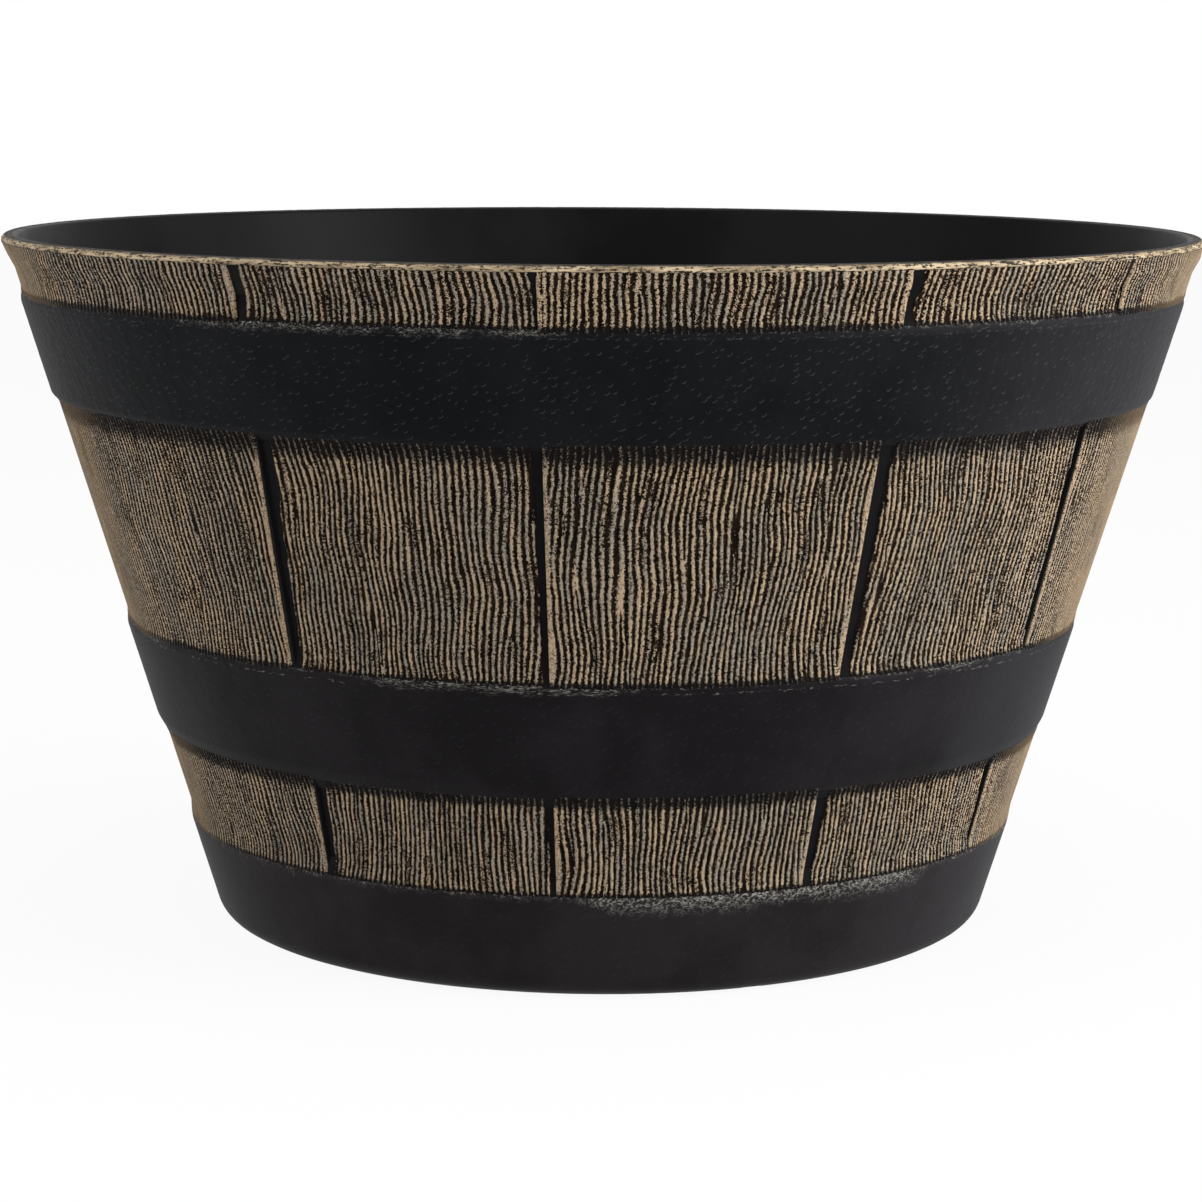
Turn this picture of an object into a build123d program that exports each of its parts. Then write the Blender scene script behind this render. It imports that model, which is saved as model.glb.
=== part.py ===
"""Half whiskey barrel planter.

One resin moulding holds the floor, the flared wall with its staves and hoops, and the rim.
Five rubber plugs close the drains in its floor. Millimetres, +Z up, origin at the centre of
the foot, on the ground. The front of the planter faces -Y.
"""

import os
from math import cos, radians, sin

from build123d import *

# Overall size
planter_height = 326.5
rim_diameter = 565.0
base_diameter = 360.8  # the recessed staves' faces, carried down to the ground
wall_thickness = 5.0
floor_thickness = 5.0

# Rim: the wall flares out under a rounded lip
rim_flare = 1.9
rim_depth = 15.0
lip_height = 3.0
lip_outer_rounding = 2.8
lip_inner_rounding = 1.6

# Heights up the outside, from the ground
base_hoop_height = 57.5
lower_stave_height = 33.5
middle_hoop_height = 60.5
top_hoop_height = 54.0
collar_height = 23.0  # staves that show between the top hoop and the rim

# Hoops: bands that stand proud of the staves, with sloping edges
hoop_rise = 2.5
base_hoop_ramp = 9.5
middle_hoop_lower_ramp = 10.0
middle_hoop_upper_ramp = 8.5
top_hoop_lower_ramp = 4.5
top_hoop_upper_ramp = 7.5
hoop_crest_rounding = 12.0
hoop_root_rounding = 3.0
base_corner_rounding = 13.0

# Staves: raised ones alternate with recessed ones, and a groove runs beside each raised edge
stave_rise = 1.0
stave_lap = 6.5  # how far a raised stave runs on under the hoops and the rim
groove_depth = 1.0
groove_width = 8.0
front_stave_angle = 10.6  # from the front towards +X, to the middle of the front stave
front_stave_arc = 31.8
side_stave_start_at_rim = 43.6  # angles on either side of the front stave's middle
side_stave_start_at_base = 49.2
side_stave_end = 81.5
rear_side_stave_start = 109.0
rear_side_stave_end = 136.6

# Foot: a ring that stands on the ground, round a raised underside with ribs
foot_height = 6.0
foot_ring_width = 24.0
foot_draft = 2.0
inner_corner_rounding = 12.0
rib_count = 8
rib_height = 3.0
rib_width = 3.0
rib_ring_diameter = 210.0
hub_diameter = 52.0

# Drains and their plugs
drain_count = 4
drain_ring_diameter = 210.0
first_drain_angle = 45.0
drain_bore = 25.0
socket_wall = 8.0
socket_depth = 4.0
plug_clearance = 0.05
plug_wall = 3.0
plug_proud = 0.5
flange_overlap = 6.5
flange_thickness = 3.0
flange_rounding = 1.0
stem_chamfer = 0.8
grip_length = 22.0
grip_width = 4.0
grip_height = 8.0

# Worked out from the sizes above
rim_radius = rim_diameter / 2
base_radius = base_diameter / 2
wall_slope = (rim_radius - rim_flare - base_radius) / planter_height
middle_hoop_low = base_hoop_height + lower_stave_height
middle_hoop_high = middle_hoop_low + middle_hoop_height
top_hoop_high = planter_height - collar_height
top_hoop_low = top_hoop_high - top_hoop_height
rim_foot = planter_height - rim_depth
floor_top = foot_height + floor_thickness
stem_radius = drain_bore / 2 - plug_clearance
stem_length = floor_thickness + socket_depth + plug_proud


def stave_face(height):
    """Radius of a recessed stave's face at a height above the ground."""
    return base_radius + wall_slope * height


def hoop_outline(low, high, lower_ramp, upper_ramp):
    """Corners of a hoop's section from its lower edge up, each with its rounding."""
    low_crest, high_crest = low + lower_ramp, high - upper_ramp
    return [
        ((stave_face(low), low), hoop_root_rounding),
        ((stave_face(low_crest) + hoop_rise, low_crest), hoop_crest_rounding),
        ((stave_face(high_crest) + hoop_rise, high_crest), hoop_crest_rounding),
        ((stave_face(high), high), hoop_root_rounding),
    ]


# Half section of the moulding, from the axis out along the ground, up the wall and back inside
foot_outer = stave_face(0) + hoop_rise
foot_inner = foot_outer - base_corner_rounding - foot_ring_width
underside = [
    ((0, foot_height), 0),
    ((foot_inner - foot_draft, foot_height), 0),
    ((foot_inner, 0), 0),
]
base_hoop_crest = base_hoop_height - base_hoop_ramp
base_hoop = [
    ((foot_outer, 0), base_corner_rounding),
    ((stave_face(base_hoop_crest) + hoop_rise, base_hoop_crest), hoop_crest_rounding),
    ((stave_face(base_hoop_height), base_hoop_height), hoop_root_rounding),
]
rim = [
    ((stave_face(rim_foot), rim_foot), rim_depth),
    ((rim_radius, planter_height - lip_height), 0),
    ((rim_radius, planter_height), lip_outer_rounding),
    ((stave_face(planter_height) - wall_thickness, planter_height), lip_inner_rounding),
]
inside = [
    ((stave_face(floor_top) - wall_thickness, floor_top), inner_corner_rounding),
    ((0, floor_top), 0),
]
middle_hoop = hoop_outline(
    middle_hoop_low, middle_hoop_high, middle_hoop_lower_ramp, middle_hoop_upper_ramp
)
top_hoop = hoop_outline(top_hoop_low, top_hoop_high, top_hoop_lower_ramp, top_hoop_upper_ramp)
section = underside + base_hoop + middle_hoop + top_hoop + rim + inside

# Stretches of wall where the staves show, as lower and upper heights
stave_stretches = [
    (base_hoop_height, middle_hoop_low),
    (middle_hoop_high, top_hoop_low),
    (top_hoop_high, rim_foot),
]

# Raised staves: middle direction, then the edges' angles from it at the base and at the rim
side_middle = (side_stave_start_at_rim + side_stave_end) / 2
rear_side_middle = (rear_side_stave_start + rear_side_stave_end) / 2
front_half = front_stave_arc / 2
rear_side_half = rear_side_middle - rear_side_stave_start
side_outer = side_stave_end - side_middle
side_inner_at_base = side_middle - side_stave_start_at_base
side_inner_at_rim = side_middle - side_stave_start_at_rim
raised_staves = [
    (0, (-front_half, front_half), (-front_half, front_half)),
    (180, (-front_half, front_half), (-front_half, front_half)),
    (side_middle, (-side_inner_at_base, side_outer), (-side_inner_at_rim, side_outer)),
    (-side_middle, (-side_outer, side_inner_at_base), (-side_outer, side_inner_at_rim)),
    (rear_side_middle, (-rear_side_half, rear_side_half), (-rear_side_half, rear_side_half)),
    (-rear_side_middle, (-rear_side_half, rear_side_half), (-rear_side_half, rear_side_half)),
]


def stave_plane(middle):
    """Upright plane on the axis that faces out through a stave's middle."""
    around = radians(front_stave_angle + middle)
    outward = (sin(around), -cos(around), 0)
    along = (cos(around), sin(around), 0)
    return Plane(origin=(0, 0, 0), x_dir=along, z_dir=outward)


def stave_outline(edges_at_base, edges_at_rim, margin):
    """Corners of a stave as seen from outside, widened by a margin at each edge."""
    corners = []
    for height, (left, right) in ((0, edges_at_base), (planter_height, edges_at_rim)):
        reach = stave_face(height)
        corners.append((reach * sin(radians(left)) - margin, height))
        corners.append((reach * sin(radians(right)) + margin, height))
    lower_left, lower_right, upper_left, upper_right = corners
    return [lower_left, lower_right, upper_right, upper_left]


def ring_between_hoops(depth, lap):
    """Rings round the wall, from a depth behind the stave faces out, lapped under each hoop."""
    with BuildPart() as ring:
        for low, high in stave_stretches:
            bottom, top = low - lap, high + lap
            with BuildSketch(Plane.XZ):
                with BuildLine():
                    Polyline(
                        (stave_face(bottom) - depth, bottom),
                        (stave_face(bottom) + stave_rise, bottom),
                        (stave_face(top) + stave_rise, top),
                        (stave_face(top) - depth, top),
                        close=True,
                    )
                make_face()
            revolve(axis=Axis.Z)
    return ring.part


def cut_to_stave(ring, stave, margin):
    """The stretch of a ring that lies within one stave's outline, widened by a margin."""
    middle, edges_at_base, edges_at_rim = stave
    with BuildPart() as strip:
        with BuildSketch(stave_plane(middle)):
            with BuildLine():
                Polyline(*stave_outline(edges_at_base, edges_at_rim, margin), close=True)
            make_face()
        extrude(amount=rim_radius)
        add(ring, mode=Mode.INTERSECT)
    return strip.part


# Raised staves, and the wider strips whose margins are left as grooves beside them
stave_ring = ring_between_hoops(wall_thickness / 2, stave_lap)
groove_ring = ring_between_hoops(groove_depth, 0)
stave_faces = [cut_to_stave(stave_ring, stave, 0) for stave in raised_staves]
groove_cuts = [cut_to_stave(groove_ring, stave, groove_width) for stave in raised_staves]

# The moulding
with BuildPart() as barrel_shell:
    with BuildSketch(Plane.XZ):
        with BuildLine():
            corners = [corner for corner, rounding in section]
            roundings = [rounding for corner, rounding in section]
            FilletPolyline(*corners, radius=roundings, close=True)
        make_face()
    revolve(axis=Axis.Z)
    # Grooves first, then the raised staves beside them
    for groove_cut in groove_cuts:
        add(groove_cut, mode=Mode.SUBTRACT)
    for stave in stave_faces:
        add(stave)
    # Ribs, hub and drain sockets under the floor
    with BuildSketch(Plane.XY.offset(foot_height - rib_height)):
        Circle(rib_ring_diameter / 2 + rib_width / 2)
        Circle(rib_ring_diameter / 2 - rib_width / 2, mode=Mode.SUBTRACT)
        Circle(hub_diameter / 2)
        with PolarLocations(0, rib_count):
            Rectangle(foot_inner, rib_width, align=(Align.MIN, Align.CENTER))
    extrude(amount=rib_height + floor_thickness / 2)
    with BuildSketch(Plane.XY.offset(foot_height - socket_depth)):
        Circle(drain_bore / 2 + socket_wall)
        with PolarLocations(drain_ring_diameter / 2, drain_count, start_angle=first_drain_angle):
            Circle(drain_bore / 2 + socket_wall)
    extrude(amount=socket_depth + floor_thickness / 2)
    # Drain bores
    with BuildSketch(Plane.XY.offset(foot_height - socket_depth)):
        Circle(drain_bore / 2)
        with PolarLocations(drain_ring_diameter / 2, drain_count, start_angle=first_drain_angle):
            Circle(drain_bore / 2)
    extrude(amount=socket_depth + floor_thickness, mode=Mode.SUBTRACT)

# One plug: a flange on the floor, a hollow stem in the bore and a grip to pull it by
with BuildPart() as drain_plug:
    with BuildSketch(Plane.XY.offset(floor_top)):
        Circle(drain_bore / 2 + flange_overlap)
    extrude(amount=flange_thickness)
    fillet(drain_plug.edges().filter_by(GeomType.CIRCLE).sort_by(Axis.Z)[-1], flange_rounding)
    with BuildSketch(Plane.XY.offset(floor_top)):
        Circle(stem_radius)
    extrude(amount=-stem_length)
    chamfer(drain_plug.edges().filter_by(GeomType.CIRCLE).sort_by(Axis.Z)[0], stem_chamfer)
    with BuildSketch(Plane.XY.offset(floor_top - stem_length)):
        Circle(stem_radius - plug_wall)
    extrude(amount=stem_length - plug_wall / 2, mode=Mode.SUBTRACT)
    with BuildSketch(Plane.XZ.offset(-grip_width / 2)):
        with Locations((0, floor_top + flange_thickness)):
            Rectangle(grip_length, grip_height, align=(Align.CENTER, Align.MIN))
        fillet(vertices().group_by(Axis.Y)[-1], grip_height / 2)
    extrude(amount=grip_width)

# The plugs' places, by name
plug_places = {"drain_plug_center": (0, 0)}
for index in range(drain_count):
    around = radians(first_drain_angle + 360 / drain_count * index)
    reach = drain_ring_diameter / 2
    plug_places[f"drain_plug_{index + 1}"] = (reach * cos(around), reach * sin(around))

os.makedirs("parts", exist_ok=True)
barrel_shell.part.label = "barrel_shell"
export_step(barrel_shell.part, "parts/barrel_shell.step")
for name, (x, y) in plug_places.items():
    plug = drain_plug.part.moved(Location((x, y, 0)))
    plug.label = name
    export_step(plug, f"parts/{name}.step")
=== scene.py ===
"""Looks of a half whiskey barrel planter, moulded in black resin.

The frame holds the moulding and its drain plugs. This script lays the painted wood grain of the
staves, the pebbled hoops and the painted rim over the moulding's outside, as thin closed skins,
and gives every surface its finish. Metres, +Z up, and the front faces -Y.
"""

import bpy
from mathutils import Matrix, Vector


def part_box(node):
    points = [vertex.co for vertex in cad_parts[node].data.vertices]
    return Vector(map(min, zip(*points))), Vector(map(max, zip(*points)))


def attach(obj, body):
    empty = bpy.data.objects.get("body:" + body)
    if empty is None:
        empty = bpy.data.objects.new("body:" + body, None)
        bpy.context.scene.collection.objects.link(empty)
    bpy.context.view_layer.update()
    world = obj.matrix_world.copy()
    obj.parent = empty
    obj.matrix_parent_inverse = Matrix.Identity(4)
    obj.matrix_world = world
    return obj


bl_info = {
    "name": "Whiskey Barrel Planter",
    "version": (1, 0, 0),
    "blender": (4, 5, 0),
    "location": "View3D > Sidebar > Planter",
    "description": "Dresses a moulded half barrel with grained staves, worn hoops and a painted rim",
    "category": "Object",
}

from math import atan, cos, pi, radians, tan

import bpy
from bpy.props import FloatProperty, FloatVectorProperty, PointerProperty
from mathutils import Matrix, Vector

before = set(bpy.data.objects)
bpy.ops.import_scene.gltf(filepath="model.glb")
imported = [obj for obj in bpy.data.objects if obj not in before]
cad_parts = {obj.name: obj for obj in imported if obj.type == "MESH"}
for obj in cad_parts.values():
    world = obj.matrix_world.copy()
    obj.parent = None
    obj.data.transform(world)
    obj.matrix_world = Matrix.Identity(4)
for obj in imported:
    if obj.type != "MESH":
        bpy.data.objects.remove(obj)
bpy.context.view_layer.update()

MM = 0.001

# The moulding, as the frame has it
SHELL = "barrel_shell"
SHELL_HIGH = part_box(SHELL)[1]
PLANTER_HEIGHT = SHELL_HIGH.z
RIM_RADIUS = SHELL_HIGH.x
BASE_RADIUS = 180.4 * MM
RIM_FLARE = 1.9 * MM
WALL_SLOPE = (RIM_RADIUS - RIM_FLARE - BASE_RADIUS) / PLANTER_HEIGHT
WALL_LEAN = atan(WALL_SLOPE)
HOOP_RISE = 2.5 * MM
STAVE_RISE = 1.0 * MM
GROOVE_DEPTH = 1.0 * MM
FLARE_START = PLANTER_HEIGHT - 15.0 * MM
FLARE_END = PLANTER_HEIGHT - 3.0 * MM
LIP_ROUNDING = 2.8 * MM
FOOT_ROUNDING = 13.0 * MM

# Hoops, as the heights where the lower slope starts and ends and the upper one starts and ends
BASE_HOOP = (-20.0 * MM, -10.0 * MM, 48.0 * MM, 57.5 * MM)
MIDDLE_HOOP = (91.0 * MM, 101.0 * MM, 143.0 * MM, 151.5 * MM)
TOP_HOOP = (249.5 * MM, 254.0 * MM, 296.0 * MM, 303.5 * MM)

# Where the black of the hoops ends on their slopes
BASE_BLACK = (1.2 * MM, 50.2 * MM)
MIDDLE_BLACK = (93.6 * MM, 148.2 * MM)
TOP_BLACK = (249.9 * MM, 301.4 * MM)

# Middle of the front stave, in degrees from the front towards +X
FRONT_STAVE = 10.6
# Left and right edge of each raised stave at the base and at the rim, in degrees from that middle
RAISED_STAVES = {
    "front": ((-15.9, 15.9), (-15.9, 15.9)),
    "right": ((49.2, 81.5), (43.6, 81.5)),
    "rear_right": ((109.0, 136.6), (109.0, 136.6)),
    "rear": ((164.1, 195.9), (164.1, 195.9)),
    "rear_left": ((-136.6, -109.0), (-136.6, -109.0)),
    "left": ((-81.5, -49.2), (-81.5, -43.6)),
}

# How far a raised stave's skin stands past its edge, and a recessed one's runs under its neighbour
EDGE_MARGIN = 0.4 * MM
EDGE_LAP = 1.2 * MM

# How far the skins stand off the moulding, and how far their backs lie inside it
SKIN_GAP = 0.15 * MM
SKIN_BACK = 1.7 * MM
BACK_COLUMNS = 9

# Edges sharper than this stay sharp
SHARP_ANGLE = radians(75)


def screen(red, green, blue):
    """A colour written as 0 to 255 screen values, as shares of full."""
    return red / 255, green / 255, blue / 255


def swatch(colour):
    """A colour given as shares of full on a screen, as linear values with full alpha."""
    def linear(share):
        return share / 12.92 if share <= 0.04045 else ((share + 0.055) / 1.055) ** 2.4
    return (*map(linear, colour), 1.0)


def srgb(red, green, blue):
    """A colour written as 0 to 255 screen values, as linear values with full alpha."""
    return swatch(screen(red, green, blue))


class Field:
    """A value that nodes work out, so that a formula can be written as one."""

    def __init__(self, tree, socket):
        self.tree = tree
        self.socket = socket

    def math(self, operation, *values):
        made = self.tree.nodes.new("ShaderNodeMath")
        made.operation = operation
        for slot, value in zip(made.inputs, (self, *values)):
            connect(self.tree, value, slot)
        return Field(self.tree, made.outputs[0])

    def __add__(self, other):
        return self.math("ADD", other)

    def __sub__(self, other):
        return self.math("SUBTRACT", other)

    def __mul__(self, other):
        return self.math("MULTIPLY", other)

    def __truediv__(self, other):
        return self.math("DIVIDE", other)

    def __rsub__(self, other):
        return self * -1.0 + other

    def __rtruediv__(self, other):
        return self.math("POWER", -1.0) * other

    __radd__ = __add__
    __rmul__ = __mul__


def connect(tree, value, slot):
    """Links a field to an input, or sets the input to a plain value."""
    if isinstance(value, Field):
        tree.links.new(value.socket, slot)
    else:
        slot.default_value = value


def node(tree, kind, inputs=None, **settings):
    """Adds a node with its settings, then fills its inputs by name or place."""
    made = tree.nodes.new(kind)
    for name, setting in settings.items():
        setattr(made, name, setting)
    for name, value in (inputs or {}).items():
        connect(tree, value, made.inputs[name])
    return made


def out(tree, made, name=0):
    """One of a node's outputs, by name or place."""
    return Field(tree, made.outputs[name])


def vector(tree, x, y, z=0.0):
    """A vector made of three components."""
    return out(tree, node(tree, "ShaderNodeCombineXYZ", {0: x, 1: y, 2: z}))


def parts_of(tree, place):
    """The three components of a vector."""
    split = node(tree, "ShaderNodeSeparateXYZ", {0: place})
    return [out(tree, split, axis) for axis in range(3)]


def step(value, low, high, start=0.0, end=1.0):
    """Goes smoothly from start to end while value goes from low to high."""
    inputs = {0: value, 1: low, 2: high, 3: start, 4: end}
    return out(value.tree, node(value.tree, "ShaderNodeMapRange", inputs, interpolation_type="SMOOTHSTEP"))


def slope(value, low, high):
    """Goes from 0 to 1 in nearly a straight line, with its two ends eased."""
    inputs = {0: value, 1: low, 2: high}
    straight = out(value.tree, node(value.tree, "ShaderNodeMapRange", inputs))
    return (straight + step(value, low, high)) * 0.5


def between(start, end, share):
    """The value a share of the way from start to end."""
    return (end - start) * share + start


def noise(tree, place, scale=1.0, detail=0.0, roughness=0.5):
    """Soft noise from -0.5 to 0.5."""
    inputs = {"Vector": place, "Scale": scale, "Detail": detail, "Roughness": roughness}
    return out(tree, node(tree, "ShaderNodeTexNoise", inputs, noise_dimensions="3D"), "Fac") - 0.5


def cells(tree, place, scale, feature="F1"):
    """A Voronoi pattern with its distances, and the middle of each cell."""
    inputs = {"Vector": place, "Scale": scale, "Randomness": 1.0}
    return node(tree, "ShaderNodeTexVoronoi", inputs, feature=feature)


def colour_mix(tree, share, first, second):
    """A colour between two others."""
    made = node(tree, "ShaderNodeMix", {0: share, 6: first, 7: second}, data_type="RGBA")
    return out(tree, made, 2)


# The outline that every skin follows

def wall_face(height):
    """Radius of a recessed stave's face at a height above the ground."""
    return height * WALL_SLOPE + BASE_RADIUS


def hoop_share(height):
    """1 on the flat of a hoop, 0 on the staves, and between them on a hoop's slopes."""
    share = None
    for foot, crest, brow, top in (BASE_HOOP, MIDDLE_HOOP, TOP_HOOP):
        rise = slope(height, foot, crest)
        fall = slope(height, brow, top)
        share = rise - fall if share is None else share + rise - fall
    return share


def moulded_radius(height):
    """Radius of the moulding's outside at a height: wall, hoops, flared rim and rounded foot."""
    flare_slope = (RIM_RADIUS - wall_face(FLARE_START)) / (FLARE_END - FLARE_START) - WALL_SLOPE
    flare = (height - FLARE_START).math("MAXIMUM", 0.0) * flare_slope
    # The foot's corner is an arc that meets the wall at the height where both slope alike
    corner = FOOT_ROUNDING / tan((pi / 2 + WALL_LEAN) / 2)
    arc_top = corner * cos(WALL_LEAN)
    arc_centre = BASE_RADIUS + HOOP_RISE - corner
    low = height.math("MINIMUM", arc_top)
    drop = (FOOT_ROUNDING**2 - (FOOT_ROUNDING - low).math("POWER", 2.0)).math("SQRT")
    rounding = drop + arc_centre - wall_face(low) - HOOP_RISE
    return wall_face(height) + hoop_share(height) * HOOP_RISE + flare + rounding


# Geometry Nodes shared by the skins

def new_tree(name, inputs):
    """A Geometry Nodes tree with named inputs, each with its kind and default, and their fields."""
    tree = bpy.data.node_groups.new(name, "GeometryNodeTree")
    tree.is_modifier = True
    tree.interface.new_socket("Geometry", in_out="INPUT", socket_type="NodeSocketGeometry")
    for label, (kind, default) in inputs.items():
        socket = tree.interface.new_socket(label, in_out="INPUT", socket_type="NodeSocket" + kind)
        if default is not None:
            socket.default_value = default
    tree.interface.new_socket("Geometry", in_out="OUTPUT", socket_type="NodeSocketGeometry")
    entry = tree.nodes.new("NodeGroupInput")
    return tree, {label: Field(tree, entry.outputs[label]) for label in inputs}


def lattice(tree, around, rows, fill):
    """A closed ring of quads to be shaped, with each vertex's number round it and share of the way up."""
    inputs = {"Vertices": around, "Side Segments": rows, "Radius": 1.0, "Depth": 1.0}
    ring = node(tree, "GeometryNodeMeshCylinder", inputs, fill_type=fill)
    x, y, height = parts_of(tree, out(tree, node(tree, "GeometryNodeInputPosition")))
    turn = y.math("ARCTAN2", x) / (2 * pi)
    number = ((turn + 1.0 + 0.5 / around).math("FRACT") * around).math("FLOOR")
    return out(tree, ring, "Mesh"), number, height + 0.5


def hollow_ring(tree, around, rows):
    """A ring whose first and last rows meet behind it, so that it can be welded into a closed band.

    Returns the ring, each vertex's angle, its share of the way up the front and 1 where it is behind.
    """
    mesh, number, share_up = lattice(tree, around, rows + 2.0, "NONE")
    row = (share_up * (rows + 2.0) + 0.5).math("FLOOR")
    behind = row.math("LESS_THAN", 0.5) + row.math("GREATER_THAN", rows + 1.5)
    along = ((row - 1.0) / rows).math("MAXIMUM", 0.0).math("MINIMUM", 1.0)
    return mesh, number / around * (2 * pi), along, behind


def weld(tree, mesh):
    """Merges the vertices that lie on each other, so that a ring closes."""
    inputs = {"Geometry": mesh, "Distance": 0.01 * MM}
    return out(tree, node(tree, "GeometryNodeMergeByDistance", inputs))


def round_place(tree, angle, across, up):
    """A place for noise that follows a ring without a seam, its angle first."""
    return vector(tree, angle.math("SINE") * across, angle.math("COSINE") * across, up)


def keep(tree, mesh, name, value, kind="FLOAT"):
    """Stores a value on the mesh under a name that materials can read."""
    inputs = {"Geometry": mesh, "Name": name, "Value": value}
    made = node(tree, "GeometryNodeStoreNamedAttribute", inputs, data_type=kind, domain="POINT")
    return out(tree, made, "Geometry")


def kept(tree, name):
    """A value that was stored on the mesh."""
    made = node(tree, "GeometryNodeInputNamedAttribute", {"Name": name}, data_type="FLOAT")
    return out(tree, made, "Attribute")


def place_points(tree, mesh, angle, radius, height):
    """Moves each vertex to an angle from the front, a radius and a height."""
    place = vector(tree, angle.math("SINE") * radius, angle.math("COSINE") * radius * -1.0, height)
    return out(tree, node(tree, "GeometryNodeSetPosition", {"Geometry": mesh, "Position": place}))


def end_tree(tree, meshes, material):
    """Joins what was made, realizes it, gives it its material and ends the tree."""
    join = tree.nodes.new("GeometryNodeJoinGeometry")
    for mesh in reversed(meshes):
        tree.links.new(mesh.socket, join.inputs[0])
    smooth = node(tree, "GeometryNodeSetShadeSmooth", {"Geometry": out(tree, join)})
    real = node(tree, "GeometryNodeRealizeInstances", {"Geometry": out(tree, smooth)})
    dressed = node(tree, "GeometryNodeSetMaterial", {"Geometry": out(tree, real), "Material": material})
    leave = tree.nodes.new("NodeGroupOutput")
    tree.links.new(dressed.outputs[0], leave.inputs[0])


def grow(name, tree, values, body):
    """Runs a tree with its inputs set, and keeps the result as a plain mesh on a body."""
    blank = bpy.data.meshes.new(name + "_blank")
    piece = bpy.data.objects.new(name, blank)
    bpy.context.scene.collection.objects.link(piece)
    modifier = piece.modifiers.new("Shape", "NODES")
    modifier.node_group = tree
    sockets = {item.name: item.identifier for item in tree.interface.items_tree if item.in_out == "INPUT"}
    for label, value in values.items():
        modifier[sockets[label]] = value
    shaped = piece.evaluated_get(bpy.context.evaluated_depsgraph_get())
    mesh = bpy.data.meshes.new_from_object(shaped)
    piece.modifiers.clear()
    piece.data = mesh
    mesh.name = name
    bpy.data.meshes.remove(blank)
    mesh.set_sharp_from_angle(angle=SHARP_ANGLE)
    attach(piece, body)
    return piece


# Wood grain of the staves

# How far a panel of grain runs down into the hoop below it, and up under the hoop above
TUCK_DOWN = 3.0 * MM
TUCK_UP = 2.5 * MM

# How far a panel's ends sink at a hoop and at the rim, and over which lengths, low and high
HOOP_SINK, RIM_SINK = 0.5 * MM, 0.2 * MM
LOW_RUN, HIGH_RUN = 2.5 * MM, 2.0 * MM

# Where paint starts above a panel's low end, over which lengths it thins and darkens as painted shade below
# the middle and the top hoop, and the share of it that is left there
PAINT_START, PAINT_FULL = 2.0 * MM, 4.2 * MM
MIDDLE_SHADE, TOP_SHADE = 4.5 * MM, 10.0 * MM
SHADED_PAINT = 0.15

# Width of the dark strips of recessed staves in each panel, upwards, and how much narrower the one on
# the right is, in millimetres; and the shares of that width at the panel's foot and gained upwards
STRIP_WIDTHS = (6.5, 7.4, 5.6)
RIGHT_STRIP_LESS = 2.6
STRIP_AT_FOOT, STRIP_GAIN = 0.92, 0.3
# Distances above a panel's low end between which a strip sinks to its full depth
STRIP_SHALLOW, STRIP_DEEP = 4.0 * MM, 14.0 * MM

# How much a stave's edges waver, how soft a strip's border is, and how far a raised stave's solid
# end ridge goes, in millimetres; and how high that ridge is, as a share of the grain's height
EDGE_WAVER = 2.4
STRIP_BORDER = 0.8
END_RIDGE_FULL, END_RIDGE_GONE = 1.4, 2.4
END_RIDGE_LEVEL = 0.84
# How far a raised stave's edge falls away, and over how many millimetres
EDGE_FALL, EDGE_FALL_WIDTH = 0.4 * MM, 0.9

# Sines of the angles from the front between which paint starts to fill the grain
SIDE_START, SIDE_END = 0.84, 0.96

# Heights between which raised staves level off under the lip
LEVEL_START = PLANTER_HEIGHT - 9 * MM
LEVEL_END = PLANTER_HEIGHT - 4 * MM

# Height at which the ridges are as far apart as the grain's pitch says
GRAIN_LEVEL = PLANTER_HEIGHT * 0.6


def grain_ridges(tree, across, up, seed, pitch):
    """Height of the grain's ridges, about 0 to 1, from millimetres across and up a stave."""
    def wander(turns_across, turns_up, offset, reach):
        """Slow noise, from how often it turns per millimetre across and up, and how far it goes."""
        place = vector(tree, across * turns_across + seed * 7.3, up * turns_up + seed * 3.1, offset)
        return noise(tree, place, detail=1.0) * reach

    lean = wander(0.012, 0.019, 3.1, 12.5)
    bend = wander(0.09, 0.045, 7.7, 2.4)
    tremble = wander(0.22, 0.16, 11.3, 0.6)
    drift = lean + bend + tremble
    # Millimetres over which ridges keep their spacing, and how much longer they run on upwards
    coherence, stretch = 13.0, 4.5
    place = vector(tree, (across + drift) / coherence + seed * 5.7, up / (coherence * stretch) + seed * 2.9)
    inputs = {
        "Vector": place, "Scale": 1.0, "Frequency": coherence / pitch,
        "Anisotropy": 1.0, "Orientation": 0.0,
    }
    stripes = node(tree, "ShaderNodeTexGabor", inputs, gabor_type="2D")
    wave = (out(tree, stripes, "Phase") * (2 * pi)).math("COSINE") * 0.5 + 0.5
    usual_intensity = 0.45
    strength = out(tree, stripes, "Intensity") - usual_intensity
    # Here and there a ridge splits down its middle into two thin ones
    split_depth = 0.32
    split = step(wander(0.12, 0.035, 31.0, 1.0), 0.07, 0.15) * step(wave, 0.72, 0.98) * split_depth
    unevenness = wander(0.11, 0.03, 21.0, 0.3)
    return wave - split + strength * 0.15 + unevenness


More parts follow.
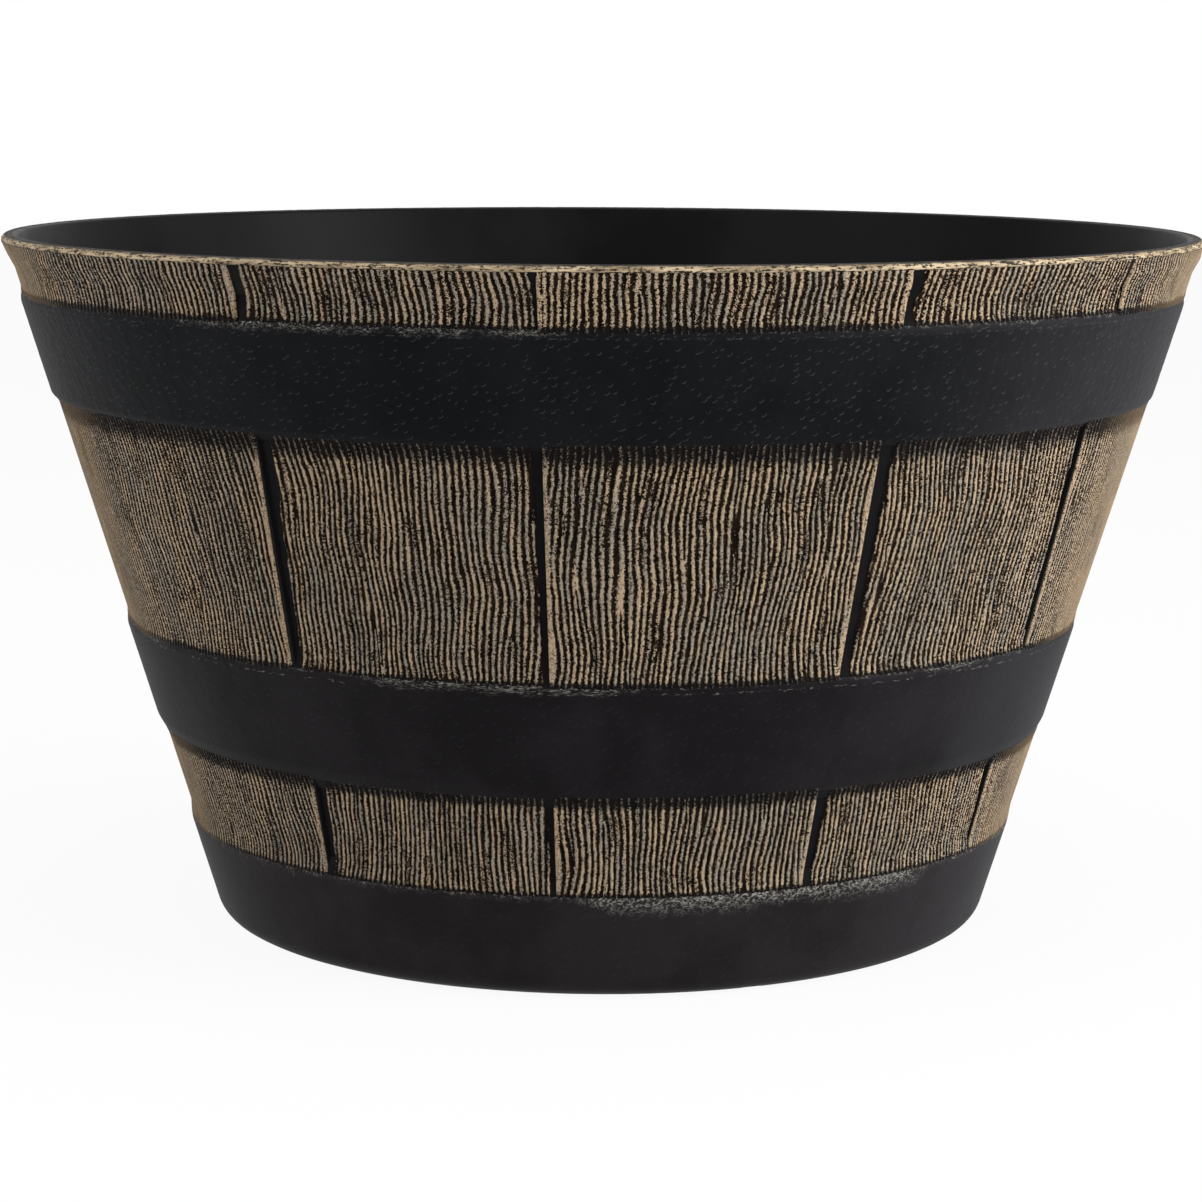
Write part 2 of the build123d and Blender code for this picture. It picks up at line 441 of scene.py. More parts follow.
def stave_tree():
    """Three grained panels of one stave, below, between and above the hoops."""
    tree, given = new_tree("Stave panels", {
        "Left at base": ("Float", 0.0), "Left at rim": ("Float", 0.0),
        "Right at base": ("Float", 0.5), "Right at rim": ("Float", 0.5),
        "Raised": ("Float", 1.0), "Columns": ("Int", 300), "Row spacing": ("Float", 1.3 * MM),
        "Grain pitch": ("Float", 2.9), "Grain height": ("Float", 0.5 * MM), "Seed": ("Float", 1.0),
        "Material": ("Material", None),
    })
    raised, columns = given["Raised"], given["Columns"]
    # Each panel's ends, tucked under its neighbours, and how far the paint thins below what is above,
    # with painted shade there
    stretches = [
        (BASE_BLACK[1] - TUCK_DOWN, MIDDLE_BLACK[0] + TUCK_UP, MIDDLE_SHADE),
        (MIDDLE_BLACK[1] - TUCK_DOWN, TOP_BLACK[0] + TUCK_UP, TOP_SHADE),
        (TOP_BLACK[1] - TUCK_DOWN, PLANTER_HEIGHT - LIP_ROUNDING, 0.0),
    ]
    panels = []
    for (low, high, shade), strip_width in zip(stretches, STRIP_WIDTHS):
        rows = ((high - low) / given["Row spacing"]).math("CEIL")
        mesh, number, share_up = lattice(tree, columns + 1.0 + BACK_COLUMNS, rows, "NGON")
        # The front runs from the left edge to the right, and the back returns in a few steps
        behind = number.math("GREATER_THAN", columns + 0.5)
        along = between(number / columns, (columns + BACK_COLUMNS - number) / (BACK_COLUMNS - 1), behind)
        height = share_up * (high - low) + low
        level = height / PLANTER_HEIGHT
        left = between(given["Left at base"], given["Left at rim"], level)
        right = between(given["Right at base"], given["Right at rim"], level)
        angle = between(left, right, along)
        face = wall_face(height)
        # The grain leans in towards the foot by half as much as the stave does
        across = (angle - (left + right) * 0.5) * (face + wall_face(GRAIN_LEVEL)) * 0.5 / MM
        up = height / MM
        # A recessed stave's dark strip is wide on its left and narrow on its right
        narrower = (1.0 - raised) * RIGHT_STRIP_LESS
        to_edge = ((angle - left) * face / MM).math("MINIMUM", (right - angle) * face / MM + narrower)
        ridges = grain_ridges(tree, across, up, given["Seed"], given["Grain pitch"])
        # A raised stave ends in a solid ridge, and a recessed one in a smooth dark strip
        wavy = noise(tree, vector(tree, across * 0.1, up * 0.2, given["Seed"]), 1.0, 1.0) * EDGE_WAVER
        end_ridge = step(to_edge + wavy, END_RIDGE_FULL, END_RIDGE_GONE, 1.0, 0.0) * raised
        past_strip = to_edge + wavy - (share_up * STRIP_GAIN + STRIP_AT_FOOT) * strip_width
        strip = step(past_strip, -STRIP_BORDER, STRIP_BORDER, 1.0, 0.0) * (1.0 - raised)
        ridges = between(ridges, END_RIDGE_LEVEL, end_ridge) - strip * 0.75
        open_wall = 1.0 - hoop_share(height)
        cover_and_shade = step(height + wavy * MM, low + PAINT_START, low + PAINT_FULL)
        # Below the middle and the top hoop the paint thins and darkens towards the hoop: painted shade
        # under it, with thinner paint
        if shade:
            top = high - TUCK_UP
            cover_and_shade = cover_and_shade * step(height + wavy * MM, top - shade, top, 1.0, SHADED_PAINT)
        cover_and_shade = cover_and_shade * (1.0 - strip * 0.8)
        mesh = keep(tree, mesh, "grain", ridges)
        mesh = keep(tree, mesh, "strip", strip)
        mesh = keep(tree, mesh, "end_ridge", end_ridge)
        mesh = keep(tree, mesh, "cover_and_shade", cover_and_shade)
        sides = step(angle.math("SINE").math("ABSOLUTE"), SIDE_START, SIDE_END)
        mesh = keep(tree, mesh, "filled", sides)
        mesh = keep(tree, mesh, "place", vector(tree, across, up, given["Seed"]), "FLOAT_VECTOR")
        below_lip = step(height, LEVEL_START, LEVEL_END, 1.0, 0.0)
        # The ridges flatten on the slopes of the hoops and under the lip
        relief = step(kept(tree, "grain"), 0.15, 0.85) * given["Grain height"]
        relief = relief * between(0.25, 1.0, open_wall) * between(0.4, 1.0, below_lip)
        strip_depth = step(height, low + STRIP_SHALLOW, low + STRIP_DEEP) * GROOVE_DEPTH
        lift = (raised * STAVE_RISE - strip * strip_depth) * open_wall * below_lip
        edge_fall = step(to_edge, 0.0, EDGE_FALL_WIDTH, EDGE_FALL, 0.0) * raised
        low_end = step(height, low, low + LOW_RUN, -HOOP_SINK, 0.0)
        high_end = step(height, high - HIGH_RUN, high, 0.0, -HOOP_SINK if shade else -RIM_SINK)
        front = moulded_radius(height) + lift + relief + SKIN_GAP - edge_fall + (low_end + high_end)
        radius = between(front, face - SKIN_BACK, behind)
        panels.append(place_points(tree, mesh, angle, radius, height))
    end_tree(tree, panels, given["Material"])
    return tree


# Hoops

# Distances between the columns and between the rows of a hoop's mesh
HOOP_COLUMN, HOOP_ROW = 1.15 * MM, 0.95 * MM
# How far the edges of the two upper hoops wander up and down
EDGE_WANDER = 2.0 * MM


def hoop_tree():
    """One pebbled hoop, whose edges sink into the staves beside it."""
    tree, given = new_tree("Hoop", {
        "Low": ("Float", 0.0), "High": ("Float", 0.05), "Edge wander": ("Float", EDGE_WANDER),
        "Columns": ("Int", 1200), "Rows": ("Int", 60),
        "Pebble size": ("Float", 4.5), "Pebble height": ("Float", 0.2 * MM), "Material": ("Material", None),
    })
    mesh, angle, along, behind = hollow_ring(tree, given["Columns"], given["Rows"])
    low, high = given["Low"], given["High"]
    wander = noise(tree, round_place(tree, angle, 40.0, low * 900.0), 1.0, 2.0) * given["Edge wander"]
    front_height = between(low, high, along) + wander
    height = between(front_height, (low + high) * 0.5, behind)
    outer = moulded_radius(height)
    spot = round_place(tree, angle, outer / MM, height / MM)
    pebbles = out(tree, cells(tree, spot, 1.0 / given["Pebble size"], "SMOOTH_F1"), "Distance")
    relief = (0.5 - pebbles + noise(tree, spot, 0.16, 2.0)) * given["Pebble height"]
    # Both edges run down into the staves over a small share of the hoop's width
    run, sink = 0.045, 0.45 * MM
    ends = step(along, 0.0, run, -sink, 0.0) + step(along, 1.0 - run, 1.0, 0.0, -sink)
    front = outer + relief + SKIN_GAP * 2.0 + ends
    radius = between(front, wall_face(height) - SKIN_BACK, behind)
    mesh = place_points(tree, mesh, angle, radius, height)
    end_tree(tree, [weld(tree, mesh)], given["Material"])
    return tree


# Rim

def rim_tree():
    """The painted bead that runs round the outside of the lip and over its edge."""
    tree, given = new_tree("Rim bead", {
        "Columns": ("Int", 1800), "Rows": ("Int", 16), "Streak height": ("Float", 0.25 * MM),
        "Material": ("Material", None),
    })
    mesh, angle, along, behind = hollow_ring(tree, given["Columns"], given["Rows"])
    # Up the flare, round the lip's outer corner and in over its top
    up_length, turn_length, top_length = 0.1 * MM, LIP_ROUNDING * pi / 2, 2.2 * MM
    way = along * (up_length + turn_length + top_length)
    climb = way.math("MINIMUM", up_length)
    turn = (way - up_length).math("MAXIMUM", 0.0).math("MINIMUM", turn_length) / LIP_ROUNDING
    inward = (way - (up_length + turn_length)).math("MAXIMUM", 0.0)
    streaks = noise(tree, round_place(tree, angle, 60.0, way / MM * 0.9), 1.0, 2.0)
    # Its two edges run down over a share of its width, each to its own depth
    outer_run, outer_sink, inner_run, inner_sink = 0.12, 0.45 * MM, 0.2, 0.35 * MM
    outer_end = step(along, 0.0, outer_run, -outer_sink, 0.0)
    inner_end = step(along, 1.0 - inner_run, 1.0, 0.0, -inner_sink)
    ends = outer_end + inner_end
    skin = streaks * given["Streak height"] + SKIN_GAP * 2.0 + ends
    flare_slope = (RIM_RADIUS - wall_face(FLARE_START)) / (FLARE_END - FLARE_START)
    reach = skin + LIP_ROUNDING
    front_radius = turn.math("COSINE") * reach + (RIM_RADIUS - LIP_ROUNDING) - inward
    front_radius = front_radius + (climb - up_length) * flare_slope
    front_height = turn.math("SINE") * reach + (climb - up_length) + (PLANTER_HEIGHT - LIP_ROUNDING)
    # Its back is a single ring inside the lip
    back_drop, back_depth = 2.6 * MM, 3.4 * MM
    height = between(front_height, PLANTER_HEIGHT - back_drop, behind)
    radius = between(front_radius, RIM_RADIUS - back_depth, behind)
    mesh = keep(tree, mesh, "way", way / MM)
    mesh = place_points(tree, mesh, angle, radius, height)
    end_tree(tree, [weld(tree, mesh)], given["Material"])
    return tree


# Finishes

# Paint on the grain: on its crests, on its glints, where it thins and takes painted shade under the hoops,
# and where it fills the grain
CREST_PAINT = srgb(116, 102, 84)
GLINT_PAINT = srgb(204, 190, 168)
THIN_AND_SHADED_PAINT = srgb(98, 95, 88)
FILLED_PAINT = srgb(126, 108, 86)
# Resin in the grain, in the dark strips, and where paint fills it
DARK_GRAIN, LIGHT_GRAIN = srgb(13, 7, 3), srgb(30, 20, 12)
STRIP_RESIN = srgb(17, 18, 21)
FILLED_RESIN = srgb(96, 80, 62)
# On the hoops: the painted sheen on the right, the painted highlights in bright arcs under the pebbles, and
# the wear
RIGHT_SHEEN = srgb(35, 34, 38)
PEBBLE_HIGHLIGHT = srgb(62, 65, 69)
WORN = srgb(158, 156, 147)
# Paint on the rim and where it greys, and the resin under it
DARK_RIM, LIGHT_RIM = srgb(146, 128, 102), srgb(192, 172, 142)
GREY_RIM = srgb(92, 88, 80)
RIM_RESIN = srgb(34, 28, 22)
# How much each finish shines
WOOD_SHINE, HOOP_SHINE, RIM_SHINE = 0.03, 0.06, 0.12


def new_material(name):
    """A material with its tree and its surface node."""
    material = bpy.data.materials.new(name)
    material.use_nodes = True
    tree = material.node_tree
    return material, tree, tree.nodes["Principled BSDF"]


def attribute(tree, name, output="Fac"):
    """A value that the piece's mesh carries."""
    return out(tree, node(tree, "ShaderNodeAttribute", attribute_name=name), output)


def object_place(tree):
    """The piece's own coordinates, in millimetres."""
    place = out(tree, tree.nodes.new("ShaderNodeTexCoord"), "Object")
    made = node(tree, "ShaderNodeVectorMath", {0: place})
    made.operation = "SCALE"
    made.inputs["Scale"].default_value = 1 / MM
    return out(tree, made)


def finish_with(tree, surface, colour, roughness, shine, bump_height, bump_distance, strength):
    """Fills in a surface's colour, roughness, shine and bumps."""
    connect(tree, colour, surface.inputs["Base Color"])
    connect(tree, roughness, surface.inputs["Roughness"])
    connect(tree, shine, surface.inputs["Specular IOR Level"])
    inputs = {"Height": bump_height, "Distance": bump_distance, "Strength": strength}
    bump = node(tree, "ShaderNodeBump", inputs)
    tree.links.new(bump.outputs[0], surface.inputs["Normal"])


def grain_paint(sizes):
    """Tan paint dry-brushed over the grain's ridges, on black resin."""
    material, tree, surface = new_material("grain_paint")
    across, up, seed = parts_of(tree, attribute(tree, "place", "Vector"))
    grain, strip, cover_and_shade = attribute(tree, "grain"), attribute(tree, "strip"), attribute(tree, "cover_and_shade")
    end_ridge, filled = attribute(tree, "end_ridge"), attribute(tree, "filled")
    spot = vector(tree, across, up, seed * 11.0)
    # The paint's edges are lumpy, ragged and finely ragged, and less so where it fills the grain
    uneven = 1.0 - filled * 0.75
    ragged = noise(tree, spot, 1.25, 2.0, 0.6) * uneven
    lumps = noise(tree, spot, 0.5, 1.0) * uneven
    fine = noise(tree, spot, 2.3, 1.0) * uneven
    raggedness, fineness, lumpiness, shading = 2.1, 1.7, 0.6, 0.45
    ridge = grain + ragged * raggedness + fine * fineness + lumps * lumpiness + (cover_and_shade - 1.0) * shading
    bare_below, painted_above = 0.58, 0.76
    painted = step(ridge, bare_below - filled * 0.4, painted_above + filled * 0.18)
    # Each ridge has its own tone, some tan and some grey
    streak = noise(tree, vector(tree, across * 0.33, up * 0.03, seed + 2.0), 1.0, 1.0)
    broad = noise(tree, vector(tree, across * 0.03, up * 0.015, seed + 5.0), 1.0, 1.0)
    tone = step(streak + broad * 0.7, -0.13, 0.13)
    paint = colour_mix(tree, tone, swatch(sizes.grey_paint), swatch(sizes.tan_paint))
    paint = colour_mix(tree, end_ridge * 0.5, paint, swatch(sizes.edge_paint))
    paint = colour_mix(tree, step(ridge, 0.8, 1.25) * 0.35, paint, CREST_PAINT)
    glints = step(noise(tree, spot, 1.9, 1.0), 0.0, 0.18) * 0.55
    paint = colour_mix(tree, glints, paint, GLINT_PAINT)
    # Where little paint covers, it greys: thin paint, and painted shade under the hoops
    thin_and_shaded = step(cover_and_shade, 0.3, 0.95, 0.7, 0.0)
    paint = colour_mix(tree, thin_and_shaded, paint, THIN_AND_SHADED_PAINT)
    paint = colour_mix(tree, filled * 0.6, paint, FILLED_PAINT)
    clouds = noise(tree, vector(tree, across * 0.25, up * 0.12, seed + 9.0), 1.0, 3.0)
    resin = colour_mix(tree, step(clouds, -0.15, 0.15), DARK_GRAIN, LIGHT_GRAIN)
    resin = colour_mix(tree, strip.math("MAXIMUM", thin_and_shaded) * 0.8, resin, STRIP_RESIN)
    resin = colour_mix(tree, filled * 0.75, resin, FILLED_RESIN)
    # The paint dims where little of it covers, which under the hoops is painted shade
    colour = colour_mix(tree, painted * (cover_and_shade * 0.4 + 0.6), resin, paint)
    bump = painted * 0.7 + ragged * 0.6
    finish_with(tree, surface, colour, between(0.5, 0.8, painted), WOOD_SHINE, bump, 0.22 * MM, 0.8)
    return material


def worn_resin(name, top, dark, light, wear_depth, worn_at, dashed, pebble):
    """Black resin of a hoop, with painted pebble highlights, a painted sheen on its right, and grey wear
    along its upper edge.

    Lengths are in millimetres: how deep the wear goes, and where it is thickest from the middle
    towards +X. The last two are how far it is dashes, and how pebbled the hoop is.
    """
    material, tree, surface = new_material(name)
    place = object_place(tree)
    x, y, height = parts_of(tree, place)
    top = top / MM
    clouds = noise(tree, place, 0.018, 3.0, 0.6)
    colour = colour_mix(tree, step(clouds, -0.14, 0.14), dark, light)
    # A dull painted sheen on the right, where the lamp on that side lights the hoop
    sheen_start, sheen_end, sheen_sway = 110.0, 240.0, 120.0
    painted_sheen = step(x + noise(tree, place, 0.02, 2.0) * sheen_sway, sheen_start, sheen_end)
    colour = colour_mix(tree, painted_sheen * 0.8, colour, RIGHT_SHEEN)
    # Painted highlights: short bright arcs on the lower side of some of the pebbles
    pebbles_per_mm = 0.26
    pebbles = cells(tree, place, pebbles_per_mm)
    reach = out(tree, pebbles, "Distance")
    beside, middle = parts_of(tree, out(tree, pebbles, "Position"))[::2]
    below = ((middle - height) * 0.8 + (x - beside) * 0.45) * pebbles_per_mm / reach
    ring = step(reach, 0.30, 0.37) * step(reach, 0.38, 0.46, 1.0, 0.0)
    lit = step(below, 0.3, 0.8) * step(noise(tree, place, 0.25, 2.0), -0.2, 0.0)
    highlight_arcs = ring * lit * pebble
    colour = colour_mix(tree, highlight_arcs * 0.6, colour, PEBBLE_HIGHLIGHT)
    # Crumbs of wear in broken lace under the upper edge, thickest near one place
    net = step(out(tree, cells(tree, place, 0.38), "Distance"), 0.3, 0.52)
    across = 0.9 - dashed * 0.5
    crumbs = vector(tree, x * across, y * across, height * (1.5 + dashed * 0.7))
    crumbs = step(noise(tree, crumbs, 1.0, 2.0, 0.65), -0.06 + dashed * 0.04, 0.1 + dashed * 0.02)
    worst_within, better_from = 35.0, 115.0
    favour = step((x - worn_at).math("ABSOLUTE"), worst_within, better_from, 0.18, -0.13)
    patch = noise(tree, vector(tree, x * 0.014, y * 0.014, height * 0.03), 1.0, 3.0, 0.6) + favour
    patch = step(patch, -0.06, 0.14)
    ragged = height + noise(tree, place, 0.13, 2.0) * 7.0
    zone = step(ragged, top - wear_depth * (patch * 0.6 + 0.4), top - 0.4)
    lace = net * (0.9 - dashed * 0.45) + (0.1 + dashed * 0.35)
    edge_from, edge_full = 2.4, 0.8
    edge = step(ragged, top - edge_from, top - edge_full) * 0.5
    wear = lace * crumbs * (zone * (patch * 0.75 + 0.15)).math("MAXIMUM", edge)
    # A broken line of dashes runs below it
    dash_drop = 4.6
    dash_line = (ragged * 0.15 + height * 0.85 - (top - dash_drop)).math("ABSOLUTE")
    broken = noise(tree, vector(tree, x * 0.35, y * 0.35, height), 1.0, 2.0, 0.7)
    dashes = step(dash_line, 0.25, 0.6, 1.0, 0.0) * step(broken, 0.0, 0.1) * crumbs
    wear = wear.math("MAXIMUM", dashes * dashed * 0.5) * 0.85
    colour = colour_mix(tree, wear, colour, WORN)
    grit = noise(tree, place, 0.9, 3.0, 0.6)
    bump = highlight_arcs * 0.5 - reach * pebble + grit * 0.3
    finish_with(tree, surface, colour, between(0.5, 0.62, grit + 0.5), HOOP_SHINE, bump, 0.25 * MM, 0.5)
    return material


def rim_paint():
    """Streaky tan paint on the lip's outside, worn off towards the inside."""
    material, tree, surface = new_material("rim_paint")
    x, y = parts_of(tree, object_place(tree))[:2]
    # Millimetres from the bead's lower edge up, over the lip and inwards
    way = attribute(tree, "way")
    streaks = noise(tree, vector(tree, x * 0.13, y * 0.13, way * 1.5), 1.0, 3.0, 0.65)
    pits = noise(tree, vector(tree, x * 0.55, y * 0.55, way * 0.9), 1.0, 2.0, 0.6)
    painted = step(streaks + pits * 0.8, -0.12, 0.03)
    tone = noise(tree, vector(tree, x * 0.05, y * 0.05, way * 0.4), 1.0, 2.0)
    paint = colour_mix(tree, step(tone, -0.15, 0.15), DARK_RIM, LIGHT_RIM)
    grey_from, grey_to, bare_from, bare_to = 2.2, 3.4, 2.6, 3.6
    paint = colour_mix(tree, step(way + pits * 2.0, grey_from, grey_to), paint, GREY_RIM)
    left_on = step(way + pits * 1.5, bare_from, bare_to, 1.0, 0.0)
    colour = colour_mix(tree, painted * left_on, RIM_RESIN, paint)
    bump = painted + streaks
    finish_with(tree, surface, colour, between(0.5, 0.75, painted), RIM_SHINE, bump, 0.15 * MM, 0.7)
    return material


def plain_resin(name, dark, light, roughness, shine):
    """Smooth moulded resin or rubber, with faint clouding and a fine grit."""
    material, tree, surface = new_material(name)
    place = object_place(tree)
    clouds = step(noise(tree, place, 0.01, 4.0, 0.6), -0.15, 0.15)
    grit = noise(tree, place, 1.4, 2.0, 0.6)
    colour = colour_mix(tree, clouds, dark, light)
    roughness = between(roughness - 0.06, roughness + 0.06, clouds)
    finish_with(tree, surface, colour, roughness, shine, grit, 0.05 * MM, 0.4)
    return material


def dress(node_name, material):
    """Gives a node of the frame its finish."""
    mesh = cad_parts[node_name].data
    mesh.materials.clear()
    mesh.materials.append(material)


# Sizes and colours for the panel, and a step for each group of pieces

class PlanterSizes(bpy.types.PropertyGroup):
    """What a user would change."""
    grain_pitch: FloatProperty(
        name="Grain pitch", description="Distance from ridge to ridge", default=2.85 * MM, min=1.5 * MM,
        unit="LENGTH")
    grain_height: FloatProperty(
        name="Grain height", description="Height of the grain's ridges", default=0.5 * MM, unit="LENGTH")
    column_spacing: FloatProperty(
        name="Column spacing", description="Distance between mesh columns on a stave", default=0.45 * MM,
        unit="LENGTH")
    row_spacing: FloatProperty(
        name="Row spacing", description="Distance between mesh rows on a stave", default=1.3 * MM,
        unit="LENGTH")
    pebble_height: FloatProperty(
        name="Pebble height", description="Height of the pebbles on the hoops", default=0.2 * MM,
        unit="LENGTH")
    tan_paint: FloatVectorProperty(
        name="Tan paint", description="Warm end of the paint on the grain",
        default=screen(180, 156, 128), subtype="COLOR_GAMMA", min=0.0, max=1.0)
    grey_paint: FloatVectorProperty(
        name="Grey paint", description="Cool end of the paint on the grain",
        default=screen(142, 134, 122), subtype="COLOR_GAMMA", min=0.0, max=1.0)
    edge_paint: FloatVectorProperty(
        name="Edge paint", description="Paint on a raised stave's edges",
        default=screen(182, 152, 118), subtype="COLOR_GAMMA", min=0.0, max=1.0)


class PLANTER_OT_resin(bpy.types.Operator):
    """Finish the moulding's inside, rim and foot in black resin"""
    bl_idname = "planter.resin"
    bl_label = "Finish resin"

    def execute(self, context):
        dress(SHELL, plain_resin("barrel_resin", srgb(8, 8, 9), srgb(20, 19, 20), 0.45, 0.05))
        return {"FINISHED"}


class PLANTER_OT_staves(bpy.types.Operator):
    """Lay a grained, painted skin over each stave"""
    bl_idname = "planter.staves"
    bl_label = "Make staves"

    def execute(self, context):
        sizes = context.scene.planter
        tree = stave_tree()
        material = grain_paint(sizes)
        staves = []
        for name, ends in RAISED_STAVES.items():
            edges = [[radians(FRONT_STAVE + angle) for angle in side] for side in zip(*ends)]
            staves.append((name, edges))
        staves.sort(key=lambda stave: stave[1][0][0])
        for index, (name, (left, right)) in enumerate(staves):
            following = staves[(index + 1) % len(staves)][1][0]
            full_turn = 2 * pi if index + 1 == len(staves) else 0.0
            gap = (right, (following[0] + full_turn, following[1] + full_turn))
            for label, (start, end), raised in ((name, (left, right), 1.0), ("beside_" + name, gap, 0.0)):
                margin = EDGE_MARGIN if raised else EDGE_LAP
                width = (end[1] - start[1]) * wall_face(GRAIN_LEVEL)
                values = {
                    "Left at base": start[0] - margin / BASE_RADIUS,
                    "Left at rim": start[1] - margin / RIM_RADIUS,
                    "Right at base": end[0] + margin / BASE_RADIUS,
                    "Right at rim": end[1] + margin / RIM_RADIUS,
                    "Raised": raised,
                    "Columns": int(width / sizes.column_spacing),
                    "Row spacing": sizes.row_spacing,
                    "Grain pitch": sizes.grain_pitch / MM,
                    "Grain height": sizes.grain_height,
                    "Seed": index * 2.0 + 1.0 + raised,
                    "Material": material,
                }
                grow("stave_" + label, tree, values, "barrel")
        return {"FINISHED"}


class PLANTER_OT_hoops(bpy.types.Operator):
    """Lay a pebbled, worn skin over each hoop"""
    bl_idname = "planter.hoops"
    bl_label = "Make hoops"

    def execute(self, context):
        sizes = context.scene.planter
        tree = hoop_tree()
        hoops = {
            "hoop_top": (TOP_BLACK, EDGE_WANDER, {
                "dark": srgb(9, 11, 13), "light": srgb(17, 18, 21),
                "wear_depth": 5.0, "worn_at": -110.0, "dashed": 0.35, "pebble": 1.0,
            }),
            "hoop_middle": (MIDDLE_BLACK, EDGE_WANDER, {
                "dark": srgb(17, 15, 17), "light": srgb(26, 24, 26),
                "wear_depth": 6.5, "worn_at": -40.0, "dashed": 1.0, "pebble": 0.3,
            }),
            # The lowest hoop runs down to the foot, so its edges stay level
            "hoop_base": (BASE_BLACK, 0.0, {
                "dark": srgb(25, 22, 24), "light": srgb(34, 31, 33),
                "wear_depth": 12.0, "worn_at": 72.0, "dashed": 0.0, "pebble": 0.3,
            }),
        }
        for name, ((low, high), edge_wander, look) in hoops.items():
            around = 2 * pi * wall_face((low + high) / 2)
            values = {
                "Low": low,
                "High": high,
                "Edge wander": edge_wander,
                "Columns": int(around / HOOP_COLUMN),
                "Rows": int((high - low) / HOOP_ROW),
                "Pebble height": sizes.pebble_height * look["pebble"],
                "Material": worn_resin(name + "_resin", high, **look),
            }
            grow(name, tree, values, "barrel")
        return {"FINISHED"}


class PLANTER_OT_rim(bpy.types.Operator):
    """Lay the painted bead round the lip"""
    bl_idname = "planter.rim"
    bl_label = "Make rim bead"

    def execute(self, context):
        grow("rim_bead", rim_tree(), {"Material": rim_paint()}, "barrel")
        return {"FINISHED"}


class PLANTER_OT_plugs(bpy.types.Operator):
    """Finish the drain plugs in black rubber"""
    bl_idname = "planter.plugs"
    bl_label = "Finish plugs"

    def execute(self, context):
        rubber = plain_resin("plug_rubber", srgb(26, 26, 27), srgb(36, 36, 37), 0.7, 0.2)
        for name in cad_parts:
            if name != SHELL:
                dress(name, rubber)
        return {"FINISHED"}


class PLANTER_OT_stage(bpy.types.Operator):
    """Set up the floor, the soft lights and the camera"""
    bl_idname = "planter.stage"
    bl_label = "Set the stage"

    def execute(self, context):
        make_floor()
        make_lights(context.scene)
        make_camera(context.scene)
        return {"FINISHED"}


def white_to_camera(tree, shader, share):
    """Mixes plain white into what the camera and reflections see of a backdrop."""
    path = tree.nodes.new("ShaderNodeLightPath")
    seen = out(tree, path, "Is Camera Ray")
    for ray in ("Is Glossy Ray", "Is Transmission Ray"):
        seen = seen.math("MAXIMUM", out(tree, path, ray))
    white = node(tree, "ShaderNodeEmission", {"Color": (1, 1, 1, 1), "Strength": 1.0})
    mix = node(tree, "ShaderNodeMixShader", {0: seen * share})
    tree.links.new(shader.outputs[0], mix.inputs[1])
    tree.links.new(white.outputs[0], mix.inputs[2])
    return mix


def make_floor():
    """A pale floor, just under the foot."""
    half, drop, white_share = 6.0, 0.5 * MM, 0.93
    corners = [(-half, -half, 0), (half, -half, 0), (half, half, 0), (-half, half, 0)]
    mesh = bpy.data.meshes.new("floor")
    mesh.from_pydata(corners, [], [(0, 1, 2, 3)])
    floor = bpy.data.objects.new("floor", mesh)
    bpy.context.scene.collection.objects.link(floor)
    floor.location.z = -drop
    material, tree, surface = new_material("pale_floor")
    surface.inputs["Base Color"].default_value = (0.8, 0.8, 0.8, 1)
    surface.inputs["Roughness"].default_value = 0.9
    surface.inputs["Specular IOR Level"].default_value = 0.0
    mix = white_to_camera(tree, surface, white_share)
    tree.links.new(mix.outputs[0], tree.nodes["Material Output"].inputs["Surface"])
    mesh.materials.append(material)


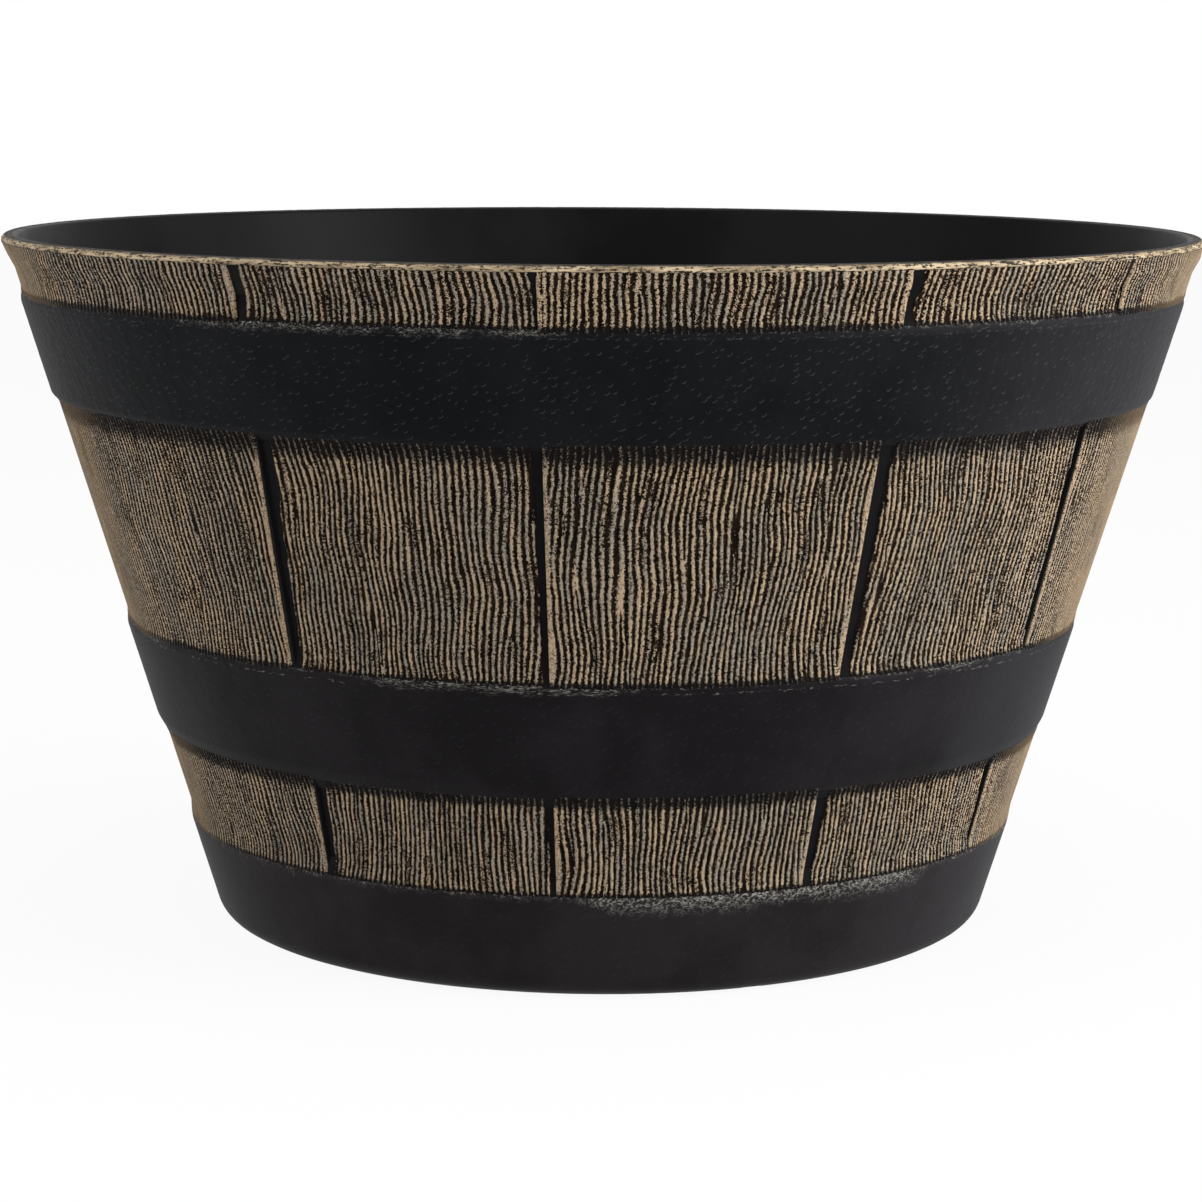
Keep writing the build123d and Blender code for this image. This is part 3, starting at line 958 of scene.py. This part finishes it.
def make_lights(scene):
    """A white studio that lights softly, and three large lamps turned to the planter."""
    world = bpy.data.worlds.new("studio")
    scene.world = world
    world.use_nodes = True
    tree = world.node_tree
    sky = tree.nodes["Background"]
    sky.inputs["Color"].default_value = (0.35, 0.35, 0.35, 1)
    mix = white_to_camera(tree, sky, 1.0)
    tree.links.new(mix.outputs[0], tree.nodes["World Output"].inputs["Surface"])
    # Where each lamp stands, how wide it is and how many watts it gives
    lamps = {
        "left_softbox": ((-2.2, -1.2, 1.2), 1.6, 22.0),
        "right_softbox": ((2.2, -0.9, 1.1), 1.6, 74.0),
        "overhead": ((0.0, -0.4, 2.6), 2.0, 30.0),
    }
    aim = Vector((0.0, 0.0, 0.15))
    for name, (place, size, power) in lamps.items():
        light = bpy.data.lights.new(name, "AREA")
        light.size = size
        light.energy = power
        lamp = bpy.data.objects.new(name, light)
        scene.collection.objects.link(lamp)
        lamp.location = place
        lamp.rotation_euler = (aim - Vector(place)).to_track_quat("-Z", "Y").to_euler()


def make_camera(scene):
    """The camera, as worked out from the outline of the rim, the hoops and the foot."""
    focal_pixels, frame_pixels = 3460.8, 1202
    pitch, roll, place = radians(8.821), radians(0.264), Vector((0.0, -1.6568, 0.4055))
    camera = bpy.data.cameras.new("camera")
    camera.sensor_width = 36.0
    camera.lens = focal_pixels / frame_pixels * camera.sensor_width
    camera.clip_start = 0.01
    seat = bpy.data.objects.new("camera", camera)
    scene.collection.objects.link(seat)
    tilt = Matrix.Rotation(pi / 2 - pitch, 4, "X") @ Matrix.Rotation(roll, 4, "Z")
    seat.matrix_world = Matrix.Translation(place) @ tilt
    scene.camera = seat
    scene.view_settings.view_transform = "Standard"


class PLANTER_PT_panel(bpy.types.Panel):
    """The planter's sizes, colours and steps in the sidebar."""
    bl_label = "Planter"
    bl_idname = "PLANTER_PT_panel"
    bl_space_type = "VIEW_3D"
    bl_region_type = "UI"
    bl_category = "Planter"

    def draw(self, context):
        sizes = context.scene.planter
        for name in PlanterSizes.__annotations__:
            self.layout.prop(sizes, name)
        for step_class in STEPS:
            self.layout.operator(step_class.bl_idname)


STEPS = (
    PLANTER_OT_resin, PLANTER_OT_staves, PLANTER_OT_hoops,
    PLANTER_OT_rim, PLANTER_OT_plugs, PLANTER_OT_stage,
)


def register():
    for made in (PlanterSizes, *STEPS, PLANTER_PT_panel):
        bpy.utils.register_class(made)
    bpy.types.Scene.planter = PointerProperty(type=PlanterSizes)


def unregister():
    del bpy.types.Scene.planter
    for made in reversed((PlanterSizes, *STEPS, PLANTER_PT_panel)):
        bpy.utils.unregister_class(made)


def main():
    """Runs every step."""
    register()
    for step_class in STEPS:
        group, name = step_class.bl_idname.split(".")
        getattr(getattr(bpy.ops, group), name)()


if __name__ == "__main__":
    main()
